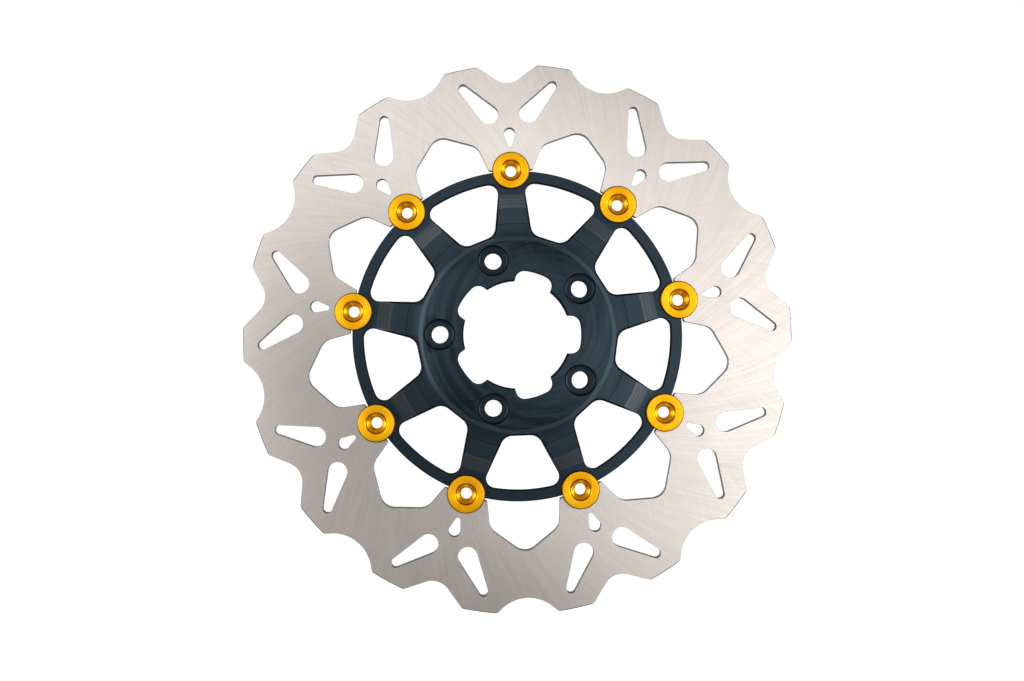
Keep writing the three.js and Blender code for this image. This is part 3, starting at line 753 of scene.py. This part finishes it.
# %% Milled anodised walls
# Painted shade: the milled faces are painted near black with almost no specular, darker than the
# anodised faces.
milled_black_and_painted_shade = new_finish(
    "milled_black_and_painted_shade", Metallic=0.0, Roughness=0.6, Base_Color=(0.006, 0.008, 0.011, 1),
    Specular_IOR_Level=0.05,
)
layers = add(milled_black_and_painted_shade, "ShaderNodeMapping",
             {"Vector": place_on(milled_black_and_painted_shade), "Scale": (0.1, 0.1, 1)})
cutter_lines = noise(milled_black_and_painted_shade, layers.outputs[0], 2600, 2, 0.6)
wall_tone = tint(milled_black_and_painted_shade, cutter_lines, (0.002, 0.0025, 0.003), (0.006, 0.008, 0.01))
link(milled_black_and_painted_shade, wall_tone, "Base Color")
link(milled_black_and_painted_shade, fade(milled_black_and_painted_shade, cutter_lines, 0.3, 0.7, 0.5, 0.7), "Roughness")
bump(milled_black_and_painted_shade, cutter_lines, 0.01 * MM, 0.5)
print("milled black has", len(milled_black_and_painted_shade.node_tree.nodes), "nodes")

# %% [markdown]
# ## The carrier
#
# First the blank is spun from its profile: a foot that bolts to the wheel, a thin web, a slope, a
# step and a raised hub. Then the windows, the notches for the buttons, the bolt holes and the
# pockets of the bore are cut through it, in the same order as in the workshop.

# %% Turn the carrier's blank
CARRIER_RADIUS = 87.75 * MM
BORE_RADIUS = 28.75 * MM
HUB_RADIUS = 50.3 * MM
SHOULDER_RADIUS = 51.5 * MM
STEP_RADIUS = 59 * MM
SLOPE_TOP_RADIUS = 68 * MM
SLOPE_FOOT_RADIUS = 75 * MM
RIM_CHAMFER = 0.3 * MM
BORE_CHAMFER = 0.6 * MM
slope_top = ring_front + 1 * MM
step_top = slope_top + 0.4 * MM
carrier_profile = [
    (BORE_RADIUS + BORE_CHAMFER, hub_back),
    (50.5 * MM, hub_back),
    (53 * MM, hub_back + 2.6 * MM),
    (57 * MM, ring_back),
    (CARRIER_RADIUS - RIM_CHAMFER, ring_back),
    (CARRIER_RADIUS, ring_back + RIM_CHAMFER),
    (CARRIER_RADIUS, ring_front - RIM_CHAMFER),
    (CARRIER_RADIUS - RIM_CHAMFER, ring_front),
    (SLOPE_FOOT_RADIUS, ring_front),
    (SLOPE_TOP_RADIUS, slope_top),
    (STEP_RADIUS, step_top),
    (SHOULDER_RADIUS, step_top),
    (HUB_RADIUS, hub_front),
    (BORE_RADIUS + BORE_CHAMFER, hub_front),
    (BORE_RADIUS, hub_front - BORE_CHAMFER),
    (BORE_RADIUS, hub_back + BORE_CHAMFER),
]
carrier = as_object(turn(carrier_profile, 720), "black_carrier", [black_anodised, milled_black_and_painted_shade])
print("carrier blank:", len(carrier.data.polygons), "faces")

# %% [markdown]
# A window has a straight inner edge, two flanks along the spokes and an outer edge that follows
# the rim. Its edge is flared by a tapered cutter, so the flare is wide where the face is high and
# narrow where it is low. The cutter is lofted through three outlines by bridging their loops.

# %% Cut the windows
WINDOW_INNER = 53.45 * MM
WINDOW_HALF = 8.73 * MM
FLANK_SLOPE = 0.507
RIM_INNER = 82 * MM
FLARE = 0.6


def window_outline(grow):
    """The window's outline, grown sideways all round."""
    flank = sqrt(1 + FLANK_SLOPE**2)
    near = WINDOW_INNER - grow
    half = WINDOW_HALF + grow * flank - grow * FLANK_SLOPE
    far = RIM_INNER + grow
    low, high = Vector((near, -half)), Vector((near, half))
    low_end = low + Vector((40 * MM, -40 * MM * FLANK_SLOPE))
    high_end = high + Vector((40 * MM, 40 * MM * FLANK_SLOPE))
    first = round_to_circle(low, low_end, far, 5 * MM + grow, 1)
    last = round_to_circle(high, high_end, far, 5 * MM + grow, -1)
    return (
        round_corner(high, low, low_end, 6.5 * MM + grow)
        + first + along_circle(first[-1], last[0], 24) + last
        + round_corner(high_end, high, low, 6.5 * MM + grow)
    )


def loft(levels):
    """A closed shape through outlines at rising heights, which have the same number of points."""
    bm = bmesh.new()
    loops = [add_loop(bm, [p.to_3d() + Vector((0, 0, z)) for p in outline]) for outline, z in levels]
    for lower, upper in zip(loops, loops[1:]):
        bmesh.ops.bridge_loops(bm, edges=lower + upper)
    for cap in (loops[0], loops[-1]):
        bmesh.ops.triangle_fill(bm, use_beauty=True, edges=cap)
    bmesh.ops.recalc_face_normals(bm, faces=bm.faces)
    return bm


flare_start = ring_front - 0.6 * MM
flare_end = hub_front + 1 * MM
window_cutter = loft([
    (window_outline(0), hub_back - 1 * MM),
    (window_outline(0), flare_start),
    (window_outline(FLARE * (flare_end - flare_start)), flare_end),
])
between_spokes = [station + pi / STATIONS for station in stations]
windows = as_object(
    repeat(window_cutter, between_spokes), "window_cutter", [black_anodised, milled_black_and_painted_shade]
)
machine(carrier, windows)
print("after the windows:", len(carrier.data.polygons), "faces")

# %% [markdown]
# The bolt seats are round bowls sunk into the hub, steep at the edge and flat where they run in to
# the hole. The bore is five arcs that centre the disc on the wheel, and five pockets between them.

# %% Cut notches, seats and pockets
BOLT_HOLE = 4.6 * MM
BOLT_SEAT = 8.4 * MM
SEAT_DEPTH = 2.2 * MM
bolts = [radians(270 + 72 * i) for i in range(BOLTS)]


def bolt_profile():
    lip = hub_front - SEAT_DEPTH
    bowl = round_corner(
        Vector((BOLT_SEAT, hub_front)), Vector((8.0 * MM, lip)), Vector((BOLT_HOLE, lip)), 1.9 * MM, 12
    )
    below, above = hub_back - MM, hub_front + MM
    return (
        [(0, below), (BOLT_HOLE, below), (BOLT_HOLE, lip - 0.25 * MM), (4.85 * MM, lip)]
        + [tuple(p) for p in reversed(bowl)]
        + [(BOLT_SEAT, hub_front), (BOLT_SEAT, above), (0, above)]
    )


def pocket_outline():
    half = 10.1 * MM
    near = BORE_RADIUS - half
    low, high = Vector((near, -half)), Vector((near, half))
    out = Vector((40 * MM, 0))
    first = round_to_circle(low, low + out, 34.7 * MM, 5 * MM, 1)
    last = round_to_circle(high, high + out, 34.7 * MM, 5 * MM, -1)
    return [low] + first + along_circle(first[-1], last[0], 12) + last + [high]


def cut_round(make, centre, angles):
    bm = make()
    bmesh.ops.translate(bm, verts=bm.verts, vec=(centre, 0, 0))
    machine(carrier, as_object(repeat(bm, angles), "cutter", [black_anodised, milled_black_and_painted_shade]))


tall = (hub_back - MM, hub_front + MM)
notch = [(0, tall[0]), (NOTCH_RADIUS, tall[0]), (NOTCH_RADIUS, tall[1]), (0, tall[1])]
cut_round(lambda: turn(notch, 96), BUTTON_CIRCLE, stations)
cut_round(lambda: turn(bolt_profile(), 96), BOLT_CIRCLE, bolts)
cut_round(lambda: loft([(pocket_outline(), tall[0]), (pocket_outline(), tall[1])]), 0,
          [angle + pi / BOLTS for angle in bolts])
for face in carrier.data.polygons:
    face.material_index = 0 if abs(face.normal.z) > 0.8 else 1
show(carrier, "carrier", "carrier")
print("carrier:", len(carrier.data.polygons), "faces")

# %% [markdown]
# ## Gold buttons
#
# A button is turned from aluminium and dyed gold. Its fine lathe rings act like grooves round its
# own axis, so light spreads across them into two bright fans, as on the back of a pan. The shader's
# anisotropy does that when it is told in which direction the surface is roughest, which is across
# the grooves. The nodes find the nearest button's axis by rounding the direction to a whole number
# of stations.

# %% Gold anodised
gold_anodised = new_finish(
    "gold_anodised", Metallic=1.0, Roughness=0.3, Base_Color=(1.0, 0.45, 0.02, 1), Anisotropic=0.8
)
place, xyz, distance, direction = position(gold_anodised)
vector, reach = from_nearest_axis(gold_anodised, xyz, direction, STATIONS, BUTTON_CIRCLE)
rough_along(gold_anodised, vector)
lathe_rings = rings(gold_anodised, reach, 0.12 * MM)
dye = noise(gold_anodised, place, 90, 2, 0.5)
depth_of_dye = maths(gold_anodised, "ADD", maths(gold_anodised, "MULTIPLY", lathe_rings, 0.4),
                     maths(gold_anodised, "MULTIPLY", dye, 0.6))
gold_tone = tint(gold_anodised, fade(gold_anodised, depth_of_dye, 0.35, 0.65, 0, 1),
                 (0.96, 0.43, 0.005), (1.0, 0.535, 0.01))
# Painted shade: within 3 to 4 mm of the button's axis the gold is painted darker brown, towards the
# bottom of the dish.
link(gold_anodised, tint(gold_anodised, fade(gold_anodised, reach, 3 * MM, 4 * MM, 0.25, 0),
                         gold_tone, (0.3, 0.085, 0.002)), "Base Color")
link(gold_anodised, fade(gold_anodised, reach, 5 * MM, 5.6 * MM, 0.9, 0.35), "Anisotropic")
link(gold_anodised, maths(gold_anodised, "ADD", fade(gold_anodised, lathe_rings, 0.3, 0.7, 0.41, 0.48),
                          fade(gold_anodised, reach, 5 * MM, 5.6 * MM, 0.07, 0)), "Roughness")
bump(gold_anodised, lathe_rings, 0.003 * MM, 0.5)

# The dark rim finish is partly dye that collects in the sharp corner and partly painted shade, for the
# little light that reaches the step and the flange's edge.
rim_dye_and_painted_shade = new_finish("gold_rim_dye_and_painted_shade", Metallic=1.0, Roughness=0.38, Base_Color=(0.08, 0.03, 0.006, 1))
place, xyz, distance, direction = position(rim_dye_and_painted_shade)
vector, reach = from_nearest_axis(rim_dye_and_painted_shade, xyz, direction, STATIONS, BUTTON_CIRCLE)
rim_noise = noise(rim_dye_and_painted_shade, place, 700, 3, 0.6)
link(rim_dye_and_painted_shade, tint(rim_dye_and_painted_shade, fade(rim_dye_and_painted_shade, rim_noise, 0.35, 0.65, 0, 1),
                     (0.05, 0.018, 0.003), (0.12, 0.045, 0.008)), "Base Color")
link(rim_dye_and_painted_shade, fade(rim_dye_and_painted_shade, rim_noise, 0.35, 0.65, 0.45, 0.32), "Roughness")
print("gold anodised has", len(gold_anodised.node_tree.nodes), "nodes")

# %% [markdown]
# The button's profile has everything on it: the flange with its rounded edge, the step and the
# cone of the dish, the hole, and at the back the groove for the clip. Spinning it makes the whole
# button in one go, and every button is the same turning at its own station.

# %% Turn the buttons
SHANK = 7 * MM
FLANGE = 10 * MM
BUTTON_BORE = 2.95 * MM
BUTTON_RECESS = 4.3 * MM
GROOVE_DEPTH = 1.1 * MM
flange_back = ring_front + 0.3 * MM
clip_low, clip_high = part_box("retaining_clip_1")
groove = (clip_low.z - 0.05 * MM, clip_high.z + 0.05 * MM)
bore_front = button_front - 5 * MM


def button_profile():
    corners = [
        ((BUTTON_RECESS, button_back), 0.2 * MM),
        ((SHANK - 0.25 * MM, button_back), 0),
        ((SHANK, button_back + 0.25 * MM), 0),
        ((SHANK, groove[0]), 0),
        ((SHANK - GROOVE_DEPTH, groove[0]), 0),
        ((SHANK - GROOVE_DEPTH, groove[1]), 0),
        ((SHANK, groove[1]), 0),
        ((SHANK, flange_back), 0),
        ((FLANGE, flange_back), 0.15 * MM),
        ((FLANGE, button_front - 0.05 * MM), 0.5 * MM),
        ((8.9 * MM, button_front), 0),
        ((5.75 * MM, button_front), 0.4 * MM),
        ((5.55 * MM, button_front - 0.7 * MM), 0),
        ((5.1 * MM, button_front - 0.75 * MM), 0),
        ((BUTTON_BORE, bore_front), 0.2 * MM),
        ((BUTTON_BORE, bore_front - 1 * MM), 0.1 * MM),
        ((BUTTON_RECESS, bore_front - 1 * MM), 0.2 * MM),
    ]
    profile = []
    for i, (corner, fillet) in enumerate(corners):
        here = Vector(corner)
        before, after = Vector(corners[i - 1][0]), Vector(corners[(i + 1) % len(corners)][0])
        profile += round_corner(before, here, after, fillet, 5) if fillet else [here]
    return [tuple(point) for point in profile]


for number in range(1, STATIONS + 1):
    name = f"bobbin_{number}"
    low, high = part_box(name)
    bm = turn(button_profile(), 96)
    bmesh.ops.translate(bm, verts=bm.verts, vec=(low + high).to_2d().to_3d() / 2)
    button = as_object(bm, f"gold_button_{number}", [gold_anodised, rim_dye_and_painted_shade])
    centre = ((low + high) / 2).to_2d()
    for face in button.data.polygons:
        reach = (face.center.to_2d() - centre).length
        # The dish's step and the flange's outer edge get the dark rim finish: darker dye and painted
        # shade.
        step = 5.05 * MM < reach < 5.6 * MM and face.center.z > button_front - 0.9 * MM
        edge = reach > FLANGE - 0.6 * MM and face.center.z > flange_back
        face.material_index = 1 if step or edge else 0
    show(button, name, name)
print("button:", len(button.data.polygons), "faces")

# %% [markdown]
# ## Behind the disc
#
# From behind, each button carries a wave washer, a flat washer and a clip. They are small and
# plain, but they are what lets the ring float, so each has the finish of the real thing: blued
# spring steel, zinc plate and an oily black phosphate.

# %% Washer and clip finishes


def bright_metal(name, dark, light, spacing, roughness):
    finish = new_finish(name, Metallic=1.0, Roughness=roughness[0], Base_Color=(*light, 1))
    place, xyz, distance, direction = position(finish)
    vector, reach = from_nearest_axis(finish, xyz, direction, STATIONS, BUTTON_CIRCLE)
    marks = rings(finish, reach, spacing)
    stains = noise(finish, place, 420, 4, 0.6)
    mixed = maths(finish, "ADD", maths(finish, "MULTIPLY", marks, 0.45),
                  maths(finish, "MULTIPLY", stains, 0.55))
    link(finish, tint(finish, fade(finish, mixed, 0.35, 0.65, 0, 1), dark, light), "Base Color")
    link(finish, fade(finish, mixed, 0.35, 0.65, *roughness), "Roughness")
    bump(finish, mixed, 0.006 * MM, 0.5)
    return finish


spring_steel = bright_metal(
    "spring_steel", (0.16, 0.16, 0.18), (0.36, 0.36, 0.37), 0.2 * MM, (0.5, 0.34)
)
plated_steel = bright_metal(
    "plated_steel", (0.34, 0.34, 0.31), (0.6, 0.6, 0.56), 0.3 * MM, (0.46, 0.3)
)
phosphated_steel = bright_metal(
    "phosphated_steel", (0.022, 0.021, 0.019), (0.06, 0.058, 0.052), 0.5 * MM, (0.7, 0.5)
)
print("three finishes for the back")

# %% [markdown]
# The wave washer is a thin flat ring bent into three waves. It is spun flat, and then each point
# is raised or lowered by how far round it is. It rides with the carrier.

# %% Washers
WAVES = 3
WASHER_BORE = 7.25 * MM
WASHER_EDGE = 0.08 * MM
SPRING_THICKNESS = 0.4 * MM


def washer(radius, low, high):
    profile = []
    corners = [(WASHER_BORE, low), (radius, low), (radius, high), (WASHER_BORE, high)]
    for i, corner in enumerate(corners):
        before, after = Vector(corners[i - 1]), Vector(corners[(i + 1) % 4])
        profile += round_corner(before, Vector(corner), after, WASHER_EDGE, 3)
    return turn([tuple(point) for point in profile], 96)


for number, station in enumerate(stations, 1):
    axis = at(BUTTON_CIRCLE, station).to_3d()
    low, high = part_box(f"wave_washer_{number}")
    middle, rise = (low.z + high.z) / 2, (high.z - low.z - SPRING_THICKNESS) / 2
    bm = washer(9.6 * MM, middle - SPRING_THICKNESS / 2, middle + SPRING_THICKNESS / 2)
    for vert in bm.verts:
        angle = atan2(vert.co.y, vert.co.x)
        vert.co.z += rise * cos(WAVES * angle)
    bmesh.ops.rotate(bm, cent=(0, 0, 0), matrix=Matrix.Rotation(station, 3, "Z"), verts=bm.verts)
    bmesh.ops.translate(bm, verts=bm.verts, vec=axis)
    wave = as_object(bm, f"spring_wave_washer_{number}", [spring_steel])
    show(wave, "carrier", f"wave_washer_{number}")
    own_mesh(wave)

    low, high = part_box(f"flat_washer_{number}")
    bm = washer(9.4 * MM, low.z, high.z)
    bmesh.ops.translate(bm, verts=bm.verts, vec=axis)
    flat = as_object(bm, f"plated_flat_washer_{number}", [plated_steel])
    show(flat, f"bobbin_{number}", f"flat_washer_{number}")
print("nine wave washers and nine flat washers")

# %% [markdown]
# The clip is stamped from spring plate: an open ring with an ear at each end, and in each ear a
# hole for the tips of the pliers.

# %% Clips
CLIP_INNER = SHANK - GROOVE_DEPTH + 0.25 * MM
CLIP_OUTER = CLIP_INNER + 2.1 * MM
EAR_OUT = CLIP_OUTER + 1.6 * MM
GAP = radians(16)
EAR = radians(36)


def clip_outline():
    centre = Vector((0, 0))
    upper = (
        round_corner(at(CLIP_INNER, GAP), at(EAR_OUT, GAP), at(EAR_OUT, EAR), 0.9 * MM, 6)
        + round_corner(at(EAR_OUT, GAP), at(EAR_OUT, EAR), at(CLIP_OUTER, EAR), 1.2 * MM, 6)
    )
    lower = [Vector((point.x, -point.y)) for point in reversed(upper)]
    return (
        upper
        + arc(centre, CLIP_OUTER, EAR, 2 * pi - 2 * EAR, 64)
        + lower
        + arc(centre, CLIP_INNER, 2 * pi - GAP, 2 * GAP - 2 * pi, 64)
    )


ear_middle = (CLIP_OUTER + EAR_OUT) / 2 - 0.6 * MM
EAR_MIDDLE = radians(26.5)
EAR_HOLE = 0.75 * MM
ear_holes = [
    arc(at(ear_middle, side * EAR_MIDDLE), EAR_HOLE, 0, 2 * pi * 17 / 18, 17) for side in (1, -1)
]
for number, station in enumerate(stations, 1):
    low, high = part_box(f"retaining_clip_{number}")
    bm = plate([clip_outline()] + ear_holes, low.z, high.z, 0.06 * MM)
    bmesh.ops.rotate(bm, cent=(0, 0, 0), matrix=Matrix.Rotation(station, 3, "Z"), verts=bm.verts)
    bmesh.ops.translate(bm, verts=bm.verts, vec=at(BUTTON_CIRCLE, station).to_3d())
    clip = as_object(bm, f"black_clip_{number}", [phosphated_steel])
    show(clip, f"bobbin_{number}", f"retaining_clip_{number}")
print("nine clips")
